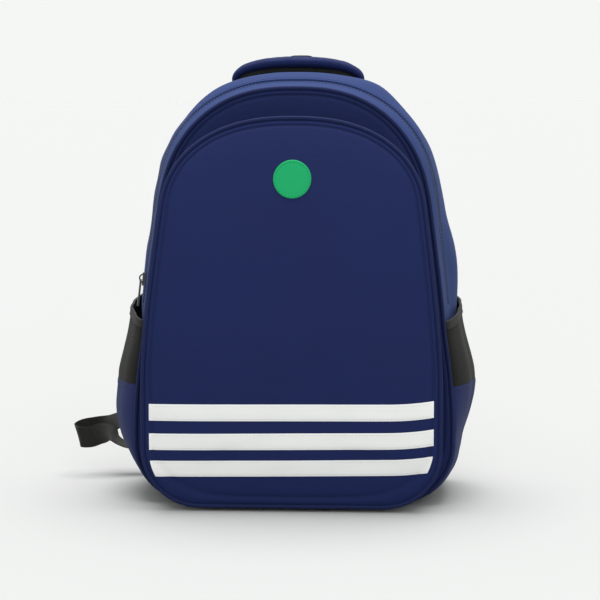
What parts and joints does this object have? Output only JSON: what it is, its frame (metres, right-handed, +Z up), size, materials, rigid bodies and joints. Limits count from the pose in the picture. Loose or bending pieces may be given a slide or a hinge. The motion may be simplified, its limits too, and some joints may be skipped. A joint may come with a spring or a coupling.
{
  "type": "school backpack",
  "caption": "Padded school backpack with zipped main compartment and front pocket, side pockets, haul handle, shoulder straps and reflective strips.",
  "frame": {"origin": "on the flat underside of the base, midway across the bag", "axes": "+Z up; the front panel faces -Y and the back with the shoulder straps faces +Y; +X is to the right when the front is seen"},
  "size_m": [0.4201, 0.2471, 0.4433],
  "materials": {
    "back_fabric": "woven polyester, black",
    "gusset_fabric": "woven polyester, lit navy",
    "base_fabric": "woven polyester, navy",
    "piping": "self-fabric piping",
    "zip_tape": "nylon coil zip on woven tape",
    "board": "stiff sheet",
    "lining": "thin lining cloth",
    "front_wall_fabric": "woven polyester, navy",
    "panel_fabric": "woven polyester, navy",
    "reflective_tape": "white reflective tape",
    "patch": "printed patch, green",
    "side_fabric": "woven polyester, navy",
    "mesh": "knitted mesh, black",
    "webbing": "woven webbing, black",
    "slider": "dark coated metal",
    "strap_fabric": "padded woven polyester, navy",
    "pad_fabric": "spacer mesh over foam, black",
    "buckle_plastic": "moulded plastic, black"
  },
  "bodies": {
    "bag": {"back_panel": "back_fabric", "rear_gusset": "gusset_fabric", "base_panel": "base_fabric", "side_gusset_left": "gusset_fabric", "side_gusset_right": "gusset_fabric", "rear_piping": "piping", "main_zip_rear": "zip_tape", "base_board": "board", "tablet_sleeve": "lining", "front_wall_lower": "front_wall_fabric", "wall_piping_lower": "piping", "front_panel_lower": "panel_fabric", "panel_piping_lower": "piping", "pocket_gusset_lower": "front_wall_fabric", "reflective_strip_1": "reflective_tape", "reflective_strip_2": "reflective_tape", "reflective_strip_3": "reflective_tape", "side_pocket_base_left": "side_fabric", "side_pocket_base_right": "side_fabric", "side_pocket_mesh_left": "mesh", "side_pocket_mesh_right": "mesh", "side_pocket_elastic_left": "webbing", "side_pocket_elastic_right": "webbing", "handle_tab_left": "webbing", "handle_tab_right": "webbing", "back_pad_left": "pad_fabric", "back_pad_right": "pad_fabric", "back_pad_low": "pad_fabric", "strap_yoke": "webbing", "anchor_tab_left": "strap_fabric", "anchor_tab_right": "strap_fabric", "low_webbing_left": "webbing", "low_webbing_right": "webbing"},
    "cover": {"front_wall_upper": "front_wall_fabric", "front_gusset": "gusset_fabric", "wall_piping_upper": "piping", "main_zip_front": "zip_tape", "pocket_gusset_rear": "front_wall_fabric", "pocket_zip_rear": "zip_tape"},
    "pocket_flap": {"front_panel_upper": "panel_fabric", "panel_piping_upper": "piping", "pocket_gusset_front": "front_wall_fabric", "pocket_zip_front": "zip_tape", "round_patch": "patch"},
    "main_zip_slider": {"main_slider": "slider"},
    "main_zip_pull": {"main_pull": "slider"},
    "pocket_zip_slider": {"pocket_slider": "slider"},
    "pocket_zip_pull": {"pocket_pull": "slider"},
    "handle": {"handle_grip": "strap_fabric", "handle_underside": "webbing"},
    "loop": {"hang_loop": "webbing"},
    "strap_left": {"strap_pad_left": "strap_fabric", "strap_facing_left": "webbing", "strap_buckle_left": "buckle_plastic"},
    "strap_right": {"strap_pad_right": "strap_fabric", "strap_facing_right": "webbing", "strap_buckle_right": "buckle_plastic"}
  },
  "joints": [
    {"name": "cover_fold", "type": "hinge", "parent": "bag", "child": "cover", "pos_m": [0, -0.09732, 0.195], "axis": [1, 0, 0], "range_deg": [0, 40]},
    {"name": "pocket_fold", "type": "hinge", "parent": "cover", "child": "pocket_flap", "pos_m": [0, -0.09732, 0.195], "axis": [1, 0, 0], "range_deg": [0, 25]},
    {"name": "main_zip_run", "type": "slide", "parent": "cover", "child": "main_zip_slider", "axis": [0.1075, 0.0463, 0.9931], "range_m": [0, 0.06]},
    {"name": "main_pull_swing", "type": "hinge", "parent": "main_zip_slider", "child": "main_zip_pull", "pos_m": [-0.15523, -0.01973, 0.2196], "axis": [-0.182, 0.983, -0.0261], "range_deg": [0, 100]},
    {"name": "pocket_zip_run", "type": "slide", "parent": "pocket_flap", "child": "pocket_zip_slider", "axis": [0.1167, 0.1124, 0.9868], "range_m": [0, 0.06]},
    {"name": "pocket_pull_swing", "type": "hinge", "parent": "pocket_zip_slider", "child": "pocket_zip_pull", "pos_m": [-0.1391, -0.06921, 0.21962], "axis": [-0.0132, 0.9937, -0.1116], "range_deg": [0, 100]},
    {"name": "handle_swing", "type": "hinge", "parent": "bag", "child": "handle", "pos_m": [0, 0.052, 0.4212], "axis": [1, 0, 0], "range_deg": [-15, 15]},
    {"name": "hang_loop_swing", "type": "hinge", "parent": "bag", "child": "loop", "pos_m": [0, 0.092, 0.3995], "axis": [1, 0, 0], "range_deg": [-80, 0]},
    {"name": "strap_swing_left", "type": "hinge", "parent": "bag", "child": "strap_left", "pos_m": [0, 0.0965, 0.386], "axis": [1, 0, 0], "range_deg": [0, 30], "deforming": ["low_webbing_left"]},
    {"name": "strap_swing_right", "type": "hinge", "parent": "bag", "child": "strap_right", "pos_m": [0, 0.0965, 0.386], "axis": [1, 0, 0], "range_deg": [0, 30], "deforming": ["low_webbing_right"]}
  ]
}
